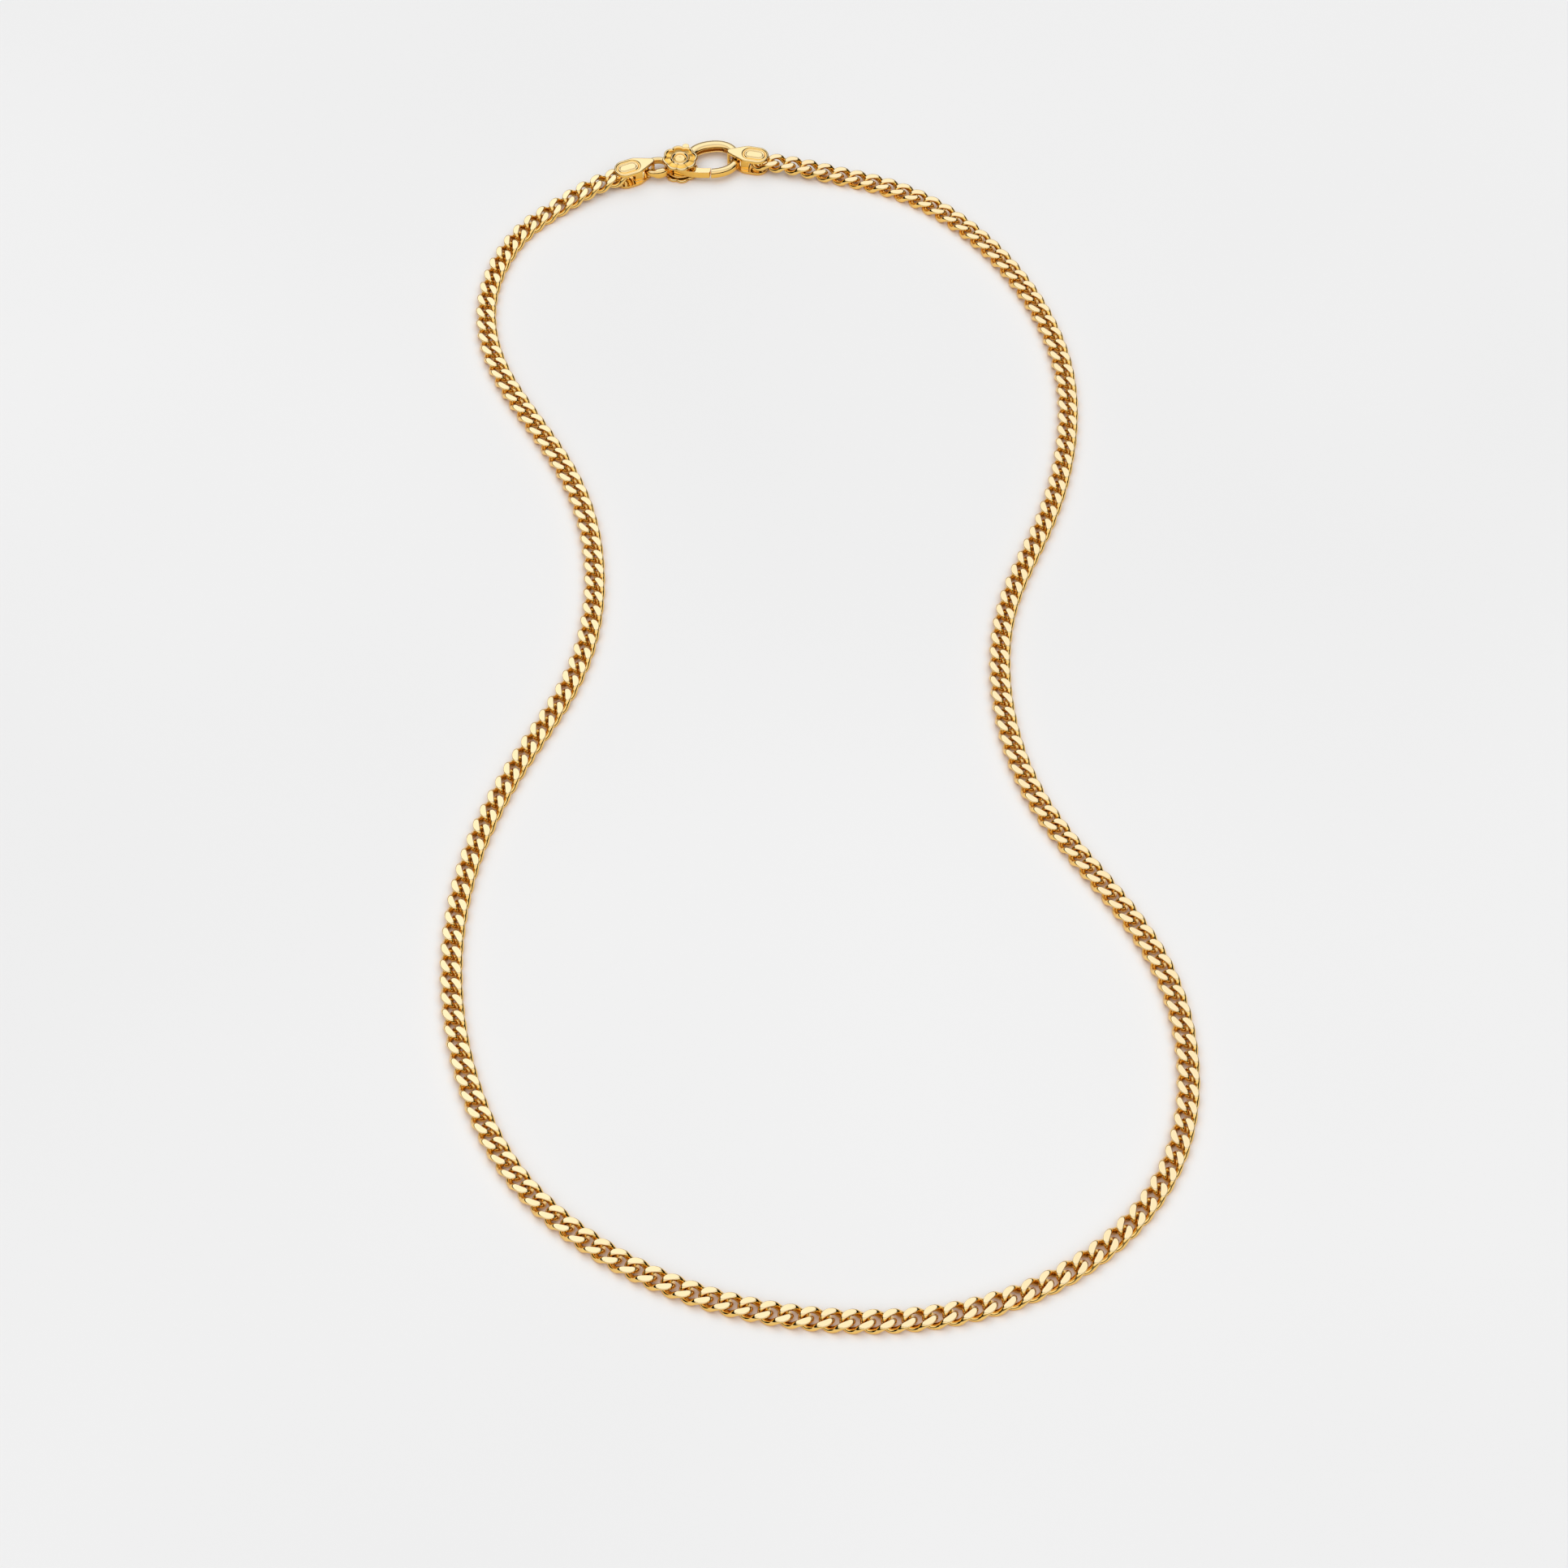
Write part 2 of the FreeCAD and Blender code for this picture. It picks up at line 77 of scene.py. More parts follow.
# Hook: the open ring, heavier round the back, with a slot in its inner wall.
RING_MIDDLE = (5.8, 0.2)
RING_OUT = (4.9, 4.2)
RING_POWER = 2.25
RING_SPAN = (160, -104.6)               # from the hub, round the back, to the tip, in degrees
RING_HEAVIEST = 100                     # where the ring is heaviest, in degrees
RING_HALF_WIDTH = (0.74, 0.24)          # half width, and what the heavy back adds
RING_HALF_HEIGHT = (0.82, 0.14)
SLOT_DEPTH = 0.5
SLOT_SHARE = 0.44                       # share of the ring's length that has the slot
TIP_SHARE = 0.93                        # where the slanted tip starts

# Tail: the closed loop that carries the left cap, with a lobe in front.
TAIL_X = -4.1
TAIL_LINE = (2.0, 1.65)
TAIL_POWER = 2.2
TAIL_HALF_WIDTH = (0.48, 0.20)          # half width, and what the lobe adds
TAIL_HALF_HEIGHT = (0.62, 0.30)
LOBE_AT = 284
LOBE_REACH = 0.62                       # in radians

# Rosettes: the rim starts at RIM_SHARE of the radius, and the petals end at PETAL_SHARE.
ROSETTE_RADIUS = 3.15
ROSETTE_LOBES = 8
ROSETTE_VALLEY = 0.89
RIM_SHARE = 0.91
RIM_DROP = 0.30
PETAL_SHARE = 0.86

# End caps: eye centre in the clasp's frame and turn about the upright axis. Ovals are worked into the top.
CAPS = {"left": ((-6.05, 0.0), 203.6), "right": ((9.92, -0.2), -12.0)}
CAP_HEIGHT = 3.3
OVAL_X = 3.3
OVAL_HALF_LENGTH = 2.25
OVAL_HALF_WIDTH = 1.52
CHANNEL_WIDTH = 0.5
CHANNEL_DEPTH = 0.15
PANEL_LINE_IN = 0.78                    # from the border oval in to the panel's line
PANEL_LINE_DEPTH = 0.07

# Fineness of the fused skins.
BODY_CELL = 0.06
CAP_CELL = 0.05
SPRING_CELL = 0.03

# Gold's painted shade: it runs from 0 on open faces to 1 in the slot, which is painted dark brown.
SIDE_SHADE = 0.75                       # painted shade of upright sides, which face away from the light above
DEEPEST = 0.85                          # deepest painted shade anywhere but in the slot
# Painted dark brown shade in the slot.
SLOT_SHADE_COLOUR = (0.30, 0.10, 0.01)

CAMERA_FROM = Vector((-4.1, -372.6, 467.5)) * MM
CAMERA_TO = Vector((-4.1, -22.7, 0.8)) * MM
CAMERA_LENS = 86.95
FLOOR_HALF = 4.0
# Painted warm bounce light from the gold on the floor, and how far from the gold it is painted.
PAINTED_BOUNCE_COLOUR = (0.97, 0.74, 0.57)
PAINTED_BOUNCE_REACH = 0.0013
LAMP_AT = (0.05, -0.05, 1.8)
LAMP_SIZE = 2.4
LAMP_WATTS = 19.6

# Studio: sky tones by height; the softbox and the black flags by their spans, as low, high and soft edge.
SKY_STRENGTH = 1.6
ROOM_TONES = [(0.0, (0.12,) * 3), (0.06, (0.07,) * 3), (0.26, (0.09,) * 3), (0.42, (0.27,) * 3),
              (0.75, (0.46,) * 3), (1.0, (0.48,) * 3)]
SOFTBOX_HEIGHTS = (0.60, 0.93, 0.05)
SOFTBOX_DEPTHS = (0.28, 0.90, 0.08)
SOFTBOX_SPAN = (-0.70, 0.36, 0.05)
SOFTBOX_TONES = [(0.40, (0.78,) * 3), (0.60, (0.62,) * 3)]
FILL_HEIGHTS = (0.46, 1.5, 0.08)
FILL_DEPTHS = (-1.5, -0.22, 0.10)
FILL_TONE = (0.66, 0.66, 0.66)
FLAG_HEIGHTS = (0.02, 0.66, 0.03)
RIGHT_FLAG_SPAN = (0.43, 1.5, 0.03)
LEFT_FLAG_SPAN = (-1.5, -0.62, 0.03)
FLAG_TONE = (0.002, 0.002, 0.002)


# ---------------------------------------------------------------- mesh helpers

def new_object(name, data):
    made = bpy.data.objects.new(name, data)
    bpy.context.scene.collection.objects.link(made)
    return made


def mesh_object(name, points, faces):
    """A smooth-shaded object from points in millimetres."""
    mesh = bpy.data.meshes.new(name)
    mesh.from_pydata((np.asarray(points) * MM).tolist(), [], [tuple(face) for face in faces])
    mesh.polygons.foreach_set("use_smooth", [True] * len(mesh.polygons))
    mesh.update()
    return new_object(name, mesh)


def grid_faces(rows, columns, closed_rows):
    """Quads between rows of points; each row is a closed ring."""
    faces = []
    last = rows if closed_rows else rows - 1
    for i in range(last):
        here = i * columns
        there = ((i + 1) % rows) * columns
        for j in range(columns):
            k = (j + 1) % columns
            faces.append((here + j, here + k, there + k, there + j))
    return faces


def shell(rings):
    """Points and faces of a closed skin through a list of rings, with a fan over each end."""
    rings = np.asarray(rings, float)
    rows, columns = rings.shape[:2]
    points = np.vstack([rings.reshape(-1, 3), rings[0].mean(0), rings[-1].mean(0)])
    quads = grid_faces(rows, columns, False)
    first, last = rows * columns, rows * columns + 1
    top = (rows - 1) * columns
    fans = [(first, (j + 1) % columns, j) for j in range(columns)]
    fans += [(last, top + j, top + (j + 1) % columns) for j in range(columns)]
    return points, quads, fans


def placed(points, x, y, turn):
    """Points turned about the upright axis, then moved."""
    angle = math.radians(turn)
    c, s = math.cos(angle), math.sin(angle)
    spin = np.array([[c, s, 0], [-s, c, 0], [0, 0, 1]])
    return np.asarray(points, float) @ spin + (x, y, 0)


def in_clasp(points):
    return placed(points, CLASP_X, CLASP_Y, CLASP_TURN)


def shells_object(name, shells):
    """One object that holds several closed skins."""
    points, faces, start = [], [], 0
    for skin_points, quads, fans in shells:
        points.append(skin_points)
        faces += [tuple(i + start for i in face) for face in quads + fans]
        start += len(skin_points)
    mesh = bpy.data.meshes.new(name)
    mesh.from_pydata(np.vstack(points).tolist(), [], faces)
    return new_object(name, mesh)


def store_painted_shade(mesh, shade_amount):
    """Stores each point's painted shade, for the gold's darker tone in recesses and on sides."""
    layer = mesh.attributes.new("recess", "FLOAT", "POINT")
    layer.data.foreach_set("value", np.clip(shade_amount, 0, 1))


def vertex_table(mesh, field):
    """Places ("co") or facing directions ("vector") of a mesh's points, one row for each."""
    table = np.zeros(len(mesh.vertices) * 3)
    source = mesh.vertices if field == "co" else mesh.vertex_normals
    source.foreach_get(field, table)
    return table.reshape(-1, 3)


def cast(piece, cell, rounds, relief=None):
    """Fuses a millimetre-sized piece into one skin with softly rounded edges, and scales it to metres.

    A relief takes the points and gives them back moved, with how much painted shade each takes in a recess.
    """
    remesh = piece.modifiers.new("fuse", "REMESH")
    remesh.mode = "VOXEL"
    remesh.voxel_size = cell
    remesh.adaptivity = 0
    soften = piece.modifiers.new("soften", "SMOOTH")
    soften.factor = 0.5
    soften.iterations = rounds
    graph = bpy.context.evaluated_depsgraph_get()
    mesh = bpy.data.meshes.new_from_object(piece.evaluated_get(graph))
    piece.modifiers.clear()
    piece.data = mesh
    # Painted shade: upright sides darker than faces turned up, and a relief's hollows darker still.
    facing = vertex_table(mesh, "vector")[:, 2]
    shade_amount = SIDE_SHADE * (1 - facing ** 2)
    if relief:
        points, sunk = relief(vertex_table(mesh, "co"))
        mesh.vertices.foreach_set("co", points.reshape(-1))
        shade_amount = np.where(sunk < 1, np.minimum(shade_amount + sunk, DEEPEST), 1)
    store_painted_shade(mesh, shade_amount)
    mesh.transform(Matrix.Scale(MM, 4))
    mesh.polygons.foreach_set("use_smooth", [True] * len(mesh.polygons))
    mesh.update()
    return piece


def copy_of_node(node, name):
    """The node's own surface as a new millimetre-sized object."""
    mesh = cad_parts[node].data.copy()
    mesh.materials.clear()
    mesh.transform(Matrix.Scale(1 / MM, 4))
    return new_object(name, mesh)


def stand_for(piece, node, material):
    """The piece takes the node's place, with a material."""
    piece.data.materials.clear()
    piece.data.materials.append(material)
    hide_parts(node)


def hand_over(piece, node, body, material):
    """The piece rides on a body and takes the node's place."""
    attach(piece, body)
    stand_for(piece, node, material)


# ---------------------------------------------------------------- materials

def new_material(name):
    material = bpy.data.materials.new(name)
    material.use_nodes = True
    tree = material.node_tree
    return material, tree, tree.nodes["Principled BSDF"]


def noise(tree, source, scale, detail, stretch=None):
    """Noise over a place in the object, stretched along one direction when asked."""
    if stretch:
        mapping = tree.nodes.new("ShaderNodeMapping")
        mapping.inputs["Scale"].default_value = stretch
        tree.links.new(source, mapping.inputs["Vector"])
        source = mapping.outputs["Vector"]
    node = tree.nodes.new("ShaderNodeTexNoise")
    node.inputs["Scale"].default_value = scale
    node.inputs["Detail"].default_value = detail
    tree.links.new(source, node.inputs["Vector"])
    return node.outputs["Fac"]


def ramp(tree, source, stops):
    node = tree.nodes.new("ShaderNodeValToRGB")
    elements = node.color_ramp.elements
    while len(elements) < len(stops):
        elements.new(0.5)
    for element, (at, colour) in zip(elements, stops):
        element.position = at
        element.color = (*colour, 1)
    tree.links.new(source, node.inputs["Fac"])
    return node.outputs["Color"]


def mixed(tree, amount, first, second):
    """From the first colour to the second; each is a plain colour or another node's output."""
    node = tree.nodes.new("ShaderNodeMix")
    node.data_type = "RGBA"
    tree.links.new(amount, node.inputs["Factor"])
    for socket, colour in (("A", first), ("B", second)):
        if isinstance(colour, tuple):
            node.inputs[socket].default_value = (*colour, 1)
        else:
            tree.links.new(colour, node.inputs[socket])
    return node.outputs["Result"]


def spread(tree, source, low, high, start=0, end=1):
    """A value between low and high, as the source runs from start to end."""
    node = tree.nodes.new("ShaderNodeMapRange")
    node.inputs["From Min"].default_value = start
    node.inputs["From Max"].default_value = end
    node.inputs["To Min"].default_value = low
    node.inputs["To Max"].default_value = high
    tree.links.new(source, node.inputs["Value"])
    return node.outputs["Result"]


def place(tree):
    return tree.nodes.new("ShaderNodeTexCoord").outputs["Object"]


def bumped(tree, shader, height, strength, distance):
    node = tree.nodes.new("ShaderNodeBump")
    node.inputs["Strength"].default_value = strength
    node.inputs["Distance"].default_value = distance
    tree.links.new(height, node.inputs["Height"])
    tree.links.new(node.outputs["Normal"], shader.inputs["Normal"])


def polished_gold(name, bright, deep, smoothness, painted_shade_colour):
    """Polished yellow gold: faint cloudiness, hair scratches, and painted shade, a deeper tone in recesses
    and on sides.
    """
    material, tree, shader = new_material(name)
    where = place(tree)
    clouds = noise(tree, where, 260, 3)
    colour = ramp(tree, clouds, [(0.3, deep), (0.7, bright)])
    # Painted shade: the darker tone in recesses and on sides, and dark brown in the slot.
    recess = tree.nodes.new("ShaderNodeAttribute")
    recess.attribute_name = "recess"
    colour = mixed(tree, spread(tree, recess.outputs["Fac"], 0, 1, 0, 0.8), colour, painted_shade_colour)
    colour = mixed(tree, spread(tree, recess.outputs["Fac"], 0, 1, DEEPEST + 0.01, 1), colour, SLOT_SHADE_COLOUR)
    tree.links.new(colour, shader.inputs["Base Color"])
    shader.inputs["Metallic"].default_value = 1
    scratches = noise(tree, where, 900, 4, (6, 1, 1))
    low, high = smoothness
    tree.links.new(spread(tree, scratches, low, high), shader.inputs["Roughness"])
    grain = noise(tree, where, 1600, 2, (1, 5, 1))
    bumped(tree, shader, grain, 0.12, 0.00003)
    return material


def spring_steel():
    """Plain drawn steel, a little grey and grained along its length."""
    material, tree, shader = new_material("spring_steel_finish")
    grain = noise(tree, place(tree), 2500, 3, (0.2, 1, 6))
    colour = ramp(tree, grain, [(0.3, (0.42, 0.41, 0.39)), (0.7, (0.62, 0.61, 0.58))])
    tree.links.new(colour, shader.inputs["Base Color"])
    shader.inputs["Metallic"].default_value = 1
    tree.links.new(spread(tree, grain, 0.25, 0.42), shader.inputs["Roughness"])
    bumped(tree, shader, grain, 0.15, 0.00003)
    return material


def pale_floor():
    """A matt pale surface with painted warm bounce light from the gold, in the shaded floor close round and
    under it.
    """
    material, tree, shader = new_material("pale_floor")
    where = place(tree)
    tone = ramp(tree, noise(tree, where, 6, 2), [(0.3, (0.80, 0.80, 0.80)), (0.7, (0.83, 0.83, 0.83))])
    # Painted bounce light: the floor turns warm where the gold hides it.
    painted_bounce = tree.nodes.new("ShaderNodeAmbientOcclusion")
    painted_bounce.samples = 8
    painted_bounce.inputs["Distance"].default_value = PAINTED_BOUNCE_REACH
    colour = mixed(tree, painted_bounce.outputs["AO"], PAINTED_BOUNCE_COLOUR, tone)
    tree.links.new(colour, shader.inputs["Base Color"])
    shader.inputs["Roughness"].default_value = 0.7
    shader.inputs["Specular IOR Level"].default_value = 0.15
    bumped(tree, shader, noise(tree, where, 900, 3), 0.04, 0.0002)
    return material


# ---------------------------------------------------------------- chain

def arc_points(start, heading, end, count):
    """Points on the arc that leaves start along heading and reaches end."""
    chord = end - start
    inward = chord - heading * (chord @ heading)
    inward = inward / np.linalg.norm(inward)
    radius = (chord @ chord) / (2 * (chord @ inward))
    whole = 2 * math.atan2(chord @ inward, chord @ heading)
    angles = np.linspace(0, whole, count)[:, None]
    return start + inward * radius * (1 - np.cos(angles)) + heading * radius * np.sin(angles)


def link_line(count):
    """Evenly spaced points on the closed middle line of a link's wire."""
    lean, slope = math.radians(END_LEAN), math.radians(SIDE_LEAN)
    end = np.array([LINK_REACH, 0, 0])
    side = np.array([0, (LINK_WIDTH - WIRE) / 2, 0])
    leaving = np.array([0, math.cos(lean), -math.sin(lean)])
    arriving = np.array([-math.cos(slope), 0, math.sin(slope)])
    across = side - end
    far_bend = (across @ across / 2 - END_BEND * (across @ leaving)) / (
        across @ arriving + END_BEND * (1 - leaving @ arriving))
    near = end + leaving * END_BEND
    far = side - arriving * far_bend
    joint = (near * far_bend + far * END_BEND) / (END_BEND + far_bend)
    heading = (far - near) / np.linalg.norm(far - near)
    steps = 200
    first_arc = arc_points(end, leaving, joint, steps)
    second_arc = arc_points(joint, heading, side, steps)
    quarter = np.vstack([first_arc[:-1], second_arc])
    half = np.vstack([quarter[:-1], (quarter * (-1, 1, -1))[::-1]])
    closed = np.vstack([half[:-1], half * (-1, -1, 1)])
    closed[-1] = closed[0]
    stretches = np.linalg.norm(np.diff(closed, axis=0), axis=1)
    length = np.concatenate([[0], np.cumsum(stretches)])
    wanted = np.linspace(0, length[-1], count, endpoint=False)
    return np.stack([np.interp(wanted, length, closed[:, k]) for k in range(3)], axis=1)


def flattened(height):
    """Height after the flats are cut, with a narrow rounded edge round each flat."""
    size = np.abs(height)
    over = np.clip(size - (FLAT_HEIGHT - FLAT_EDGE), 0, 2 * FLAT_EDGE)
    cut = size - over ** 2 / (4 * FLAT_EDGE)
    return np.sign(height) * np.where(size > FLAT_HEIGHT + FLAT_EDGE, FLAT_HEIGHT, cut)


def link_mesh():
    """Points, faces and painted shade of one link about its own middle."""
    line = link_line(RINGS_PER_LINK)
    along = np.roll(line, -1, axis=0) - np.roll(line, 1, axis=0)
    along /= np.linalg.norm(along, axis=1)[:, None]
    side = np.cross(along, (0, 0, 1))
    side /= np.linalg.norm(side, axis=1)[:, None]
    rise = np.cross(side, along)
    angles = np.arange(POINTS_PER_RING) * 2 * math.pi / POINTS_PER_RING
    out = side[:, None] * np.cos(angles)[:, None] + rise[:, None] * np.sin(angles)[:, None]
    points = line[:, None] + out * WIRE / 2
    # Painted shade: the wire darker on its sides and inside the link, and the flats left bright.
    inward = -(out * line[:, None]).sum(2) / np.linalg.norm(line, axis=1)[:, None]
    recess = 0.5 + 0.15 * (1 - np.abs(out[..., 2])) + 0.45 * np.clip(inward, 0, 1) ** 1.5
    recess = np.where(np.abs(points[..., 2]) > FLAT_HEIGHT - FLAT_EDGE, 0, np.clip(recess, 0, 0.92))
    points[..., 2] = flattened(points[..., 2])
    faces = np.array(grid_faces(RINGS_PER_LINK, POINTS_PER_RING, True))
    return points.reshape(-1, 3), faces, recess.reshape(-1)


def loose_parts(mesh):
    """Triangles of a mesh as points in millimetres, and the number of the loose part each belongs to."""
    mesh.calc_loop_triangles()
    points = vertex_table(mesh, "co") / MM
    triangles = np.zeros(len(mesh.loop_triangles) * 3, int)
    mesh.loop_triangles.foreach_get("vertices", triangles)
    triangles = triangles.reshape(-1, 3)
    _, same = np.unique(np.round(points * 10000).astype(np.int64), axis=0, return_inverse=True)
    corners = same.reshape(-1)[triangles]
    label = np.arange(corners.max() + 1)
    while True:
        least = label[corners].min(1)
        fresh = label.copy()
        for k in range(3):
            np.minimum.at(fresh, corners[:, k], least)
        fresh = fresh[fresh]
        if (fresh == label).all():
            break
        label = fresh
    return points[triangles], label[corners[:, 0]]


def link_places(node):
    """Middle and axes of every link in a chain node, read from the node's own surface."""
    triangles, part = loose_parts(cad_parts[node].data)
    places = []
    for number in np.unique(part):
        own = triangles[part == number]
        area = np.linalg.norm(np.cross(own[:, 1] - own[:, 0], own[:, 2] - own[:, 0]), axis=1)
        centres = own.mean(1)
        middle = (centres * area[:, None]).sum(0) / area.sum()
        spread_out = ((centres - middle).T * area) @ (centres - middle)
        _, axes = np.linalg.eigh(spread_out)
        up = axes[:, 0] * math.copysign(1, axes[2, 0])
        along = axes[:, 2]
        across = np.cross(up, along)
        places.append((middle, np.stack([along, across, up])))
    return places


def make_chain(gold):
    """Each chain node becomes one piece with the same link set in every place."""
    points, faces, recess = link_mesh()
    for node in sorted(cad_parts):
        if not node.startswith("links_"):
            continue
        places = link_places(node)
        everything = [points @ axes + middle for middle, axes in places]
        all_faces = np.vstack([faces + len(points) * k for k in range(len(places))])
        piece = mesh_object(node.replace("links", "curb"), np.vstack(everything), all_faces)
        # Every link takes the same painted shade.
        store_painted_shade(piece.data, np.tile(recess, len(places)))
        hand_over(piece, node, node.replace("links_", ""), gold)


# ---------------------------------------------------------------- clasp

def oval_line(x, y, half_x, half_y, angles, squareness):
    """Points of a rounded oval about (x, y) at some angles, a little squarer than an ellipse."""
    c, s = np.cos(angles), np.sin(angles)
    reach = np.abs(c / half_x) ** squareness + np.abs(s / half_y) ** squareness
    reach = reach ** (-1 / squareness)
    return np.stack([x + reach * c, y + reach * s, np.full_like(angles, CLASP_MIDDLE)], axis=1)


def swept_bar(line, half_width, half_height, slot_depth, closed):
    """Rings of a bar with a rounded section along a level line, and the line's directions.

    The sizes are given for each point of the line. The slot is in the bar's inner side.
    """
    around = np.linspace(0, 2 * math.pi, 64, endpoint=False)
    before = np.roll(line, 1, axis=0)
    after = np.roll(line, -1, axis=0)
    if not closed:
        before[0], after[-1] = line[0], line[-1]
    along = after - before
    along /= np.linalg.norm(along, axis=1)[:, None]
    side = np.cross(along, (0, 0, 1))
    c, s = np.cos(around), np.sin(around)
    corner = (np.abs(c) ** SECTION_POWER + np.abs(s) ** SECTION_POWER) ** (-1 / SECTION_POWER)
    across, upward = corner * c, corner * s
    groove = np.where(across > 0, np.clip((0.34 - np.abs(upward)) / 0.06, 0, 1), 0)
    rings = []
    for i in range(len(line)):
        wide = across * half_width[i] - groove * slot_depth[i]
        tall = np.outer(upward * half_height[i], (0, 0, 1))
        rings.append(line[i] + side[i] * wide[:, None] + tall)
    return np.array(rings), along


def hook_ring():
    """The open ring: heavy round the back, slimmer through the right cap, slanted at its tip."""
    angles = np.radians(np.linspace(*RING_SPAN, 170))
    heavy = np.clip(np.cos(angles - math.radians(RING_HEAVIEST)), 0, 1) ** 0.8
    half_width = RING_HALF_WIDTH[0] + RING_HALF_WIDTH[1] * heavy
    half_height = RING_HALF_HEIGHT[0] + RING_HALF_HEIGHT[1] * heavy
    half_x, half_y = RING_OUT[0] - half_width, RING_OUT[1] - half_width
    line = oval_line(*RING_MIDDLE, half_x, half_y, angles, RING_POWER)
    share = np.linspace(0, 1, len(line))
    slot = SLOT_DEPTH * np.clip((SLOT_SHARE - share) / 0.02, 0, 1)
    rings, along = swept_bar(line, half_width, half_height, slot, False)
    centre = (*RING_MIDDLE, CLASP_MIDDLE)
    bar_reach = np.linalg.norm(rings.mean(1, keepdims=True) - centre, axis=2)
    inner = bar_reach - np.linalg.norm(rings - centre, axis=2)
    near_tip = np.clip((share - TIP_SHARE) / (1 - TIP_SHARE), 0, 1)
    slant = near_tip[:, None] * np.clip(inner + 0.7, 0, 2) * 0.16
    return shell(rings - along[:, None] * slant[..., None])


def tail_loop():
    """The closed loop that carries the left cap, with a heavier lobe in front."""
    angles = np.linspace(0, 2 * math.pi, 96, endpoint=False)
    line = oval_line(TAIL_X, 0, *TAIL_LINE, angles, TAIL_POWER)
    from_lobe = np.mod(angles - math.radians(LOBE_AT) + math.pi, 2 * math.pi) - math.pi
    lobe = np.exp(-(from_lobe / LOBE_REACH) ** 4)
    half_width = TAIL_HALF_WIDTH[0] + TAIL_HALF_WIDTH[1] * lobe
    half_height = TAIL_HALF_HEIGHT[0] + TAIL_HALF_HEIGHT[1] * lobe
    rings, _ = swept_bar(line, half_width, half_height, np.zeros(len(line)), True)
    rows, columns = rings.shape[:2]
    return rings.reshape(-1, 3), grid_faces(rows, columns, True), []


def disc(radius, low, high, edge):
    """An upright round plate with rounded edges."""
    angles = np.linspace(0, 2 * math.pi, 96, endpoint=False)
    rings = []
    for r, z in ((radius - edge, low), (radius, low + edge), (radius, high - edge), (radius - edge, high)):
        rings.append(np.stack([r * np.cos(angles), r * np.sin(angles), np.full_like(angles, z)], axis=1))
    return shell(rings)


def hub_wall(start, end):
    """A stretch of upright wall between the cheeks."""
    angles = np.radians(np.linspace(start, end, 24))
    low, high = CHEEK_LOW + CHEEK / 2, CLASP_HEIGHT - CHEEK_LOW - CHEEK / 2
    rings = []
    for a in angles:
        c, s = math.cos(a), math.sin(a)
        rings.append([(HUB_INSIDE * c, HUB_INSIDE * s, low), (HUB_RADIUS * c, HUB_RADIUS * s, low),
                      (HUB_RADIUS * c, HUB_RADIUS * s, high), (HUB_INSIDE * c, HUB_INSIDE * s, high)])
    return shell(rings)


def slot_shade(points):
    """The slot in the ring's inner wall takes full painted shade; no point moves."""
    own = placed(points - (CLASP_X, CLASP_Y, CLASP_MIDDLE), 0, 0, -CLASP_TURN) - (*RING_MIDDLE, 0)
    share = np.hypot(own[:, 0] / RING_OUT[0], own[:, 1] / RING_OUT[1])
    within = (share > 0.545) & (share < 0.8) & (np.abs(own[:, 2]) < 0.31) & (own[:, 1] > 0.5)
    return points, np.where(within, 1.0, 0.0)


def make_clasp_body(gold):
    """Ring, tail loop, and the hub's two cheeks and two walls, fused into one skin."""
    cheek_high = CLASP_HEIGHT - CHEEK_LOW
    shells = [hook_ring(), tail_loop(), disc(HUB_RADIUS, CHEEK_LOW, CHEEK_LOW + CHEEK, CHEEK_EDGE),
              disc(HUB_RADIUS, cheek_high - CHEEK, cheek_high, CHEEK_EDGE)]
    shells += [hub_wall(start, end) for start, end in WALL_SPANS]
    shells = [(in_clasp(points), quads, fans) for points, quads, fans in shells]
    piece = cast(shells_object("clasp_hook_and_tail", shells), BODY_CELL, 3, slot_shade)
    hand_over(piece, "clasp_body", "clasp", gold)


def make_lever(gold):
    piece = cast(copy_of_node("clasp_lever", "clasp_lever_arm"), CAP_CELL, 4)
    hand_over(piece, "clasp_lever", "lever", gold)


def rosette_height(share, petal, raised):
    """How far a rosette's face lies below its top: rolled rim, dished petals, ringed boss in the middle."""
    rim = math.sqrt(max(1 - ((share - RIM_SHARE) / (1 - RIM_SHARE)) ** 2, 0))
    if share <= RIM_SHARE:
        rim = max(rim, 0.12)
    if not raised or share > PETAL_SHARE:
        return RIM_DROP * (1 - rim) + 0.10 * (1 - petal)
    dish = 0.27 - 0.05 * math.cos((share - 0.5) * 9)
    ring = math.exp(-((share - 0.45) / 0.055) ** 2)
    boss = 1 / (1 + math.exp((share - 0.3) / 0.02))
    return np.maximum(dish - 0.24 * ring - 0.22 * boss + 0.07 * (1 - petal) * (share > 0.5), 0)


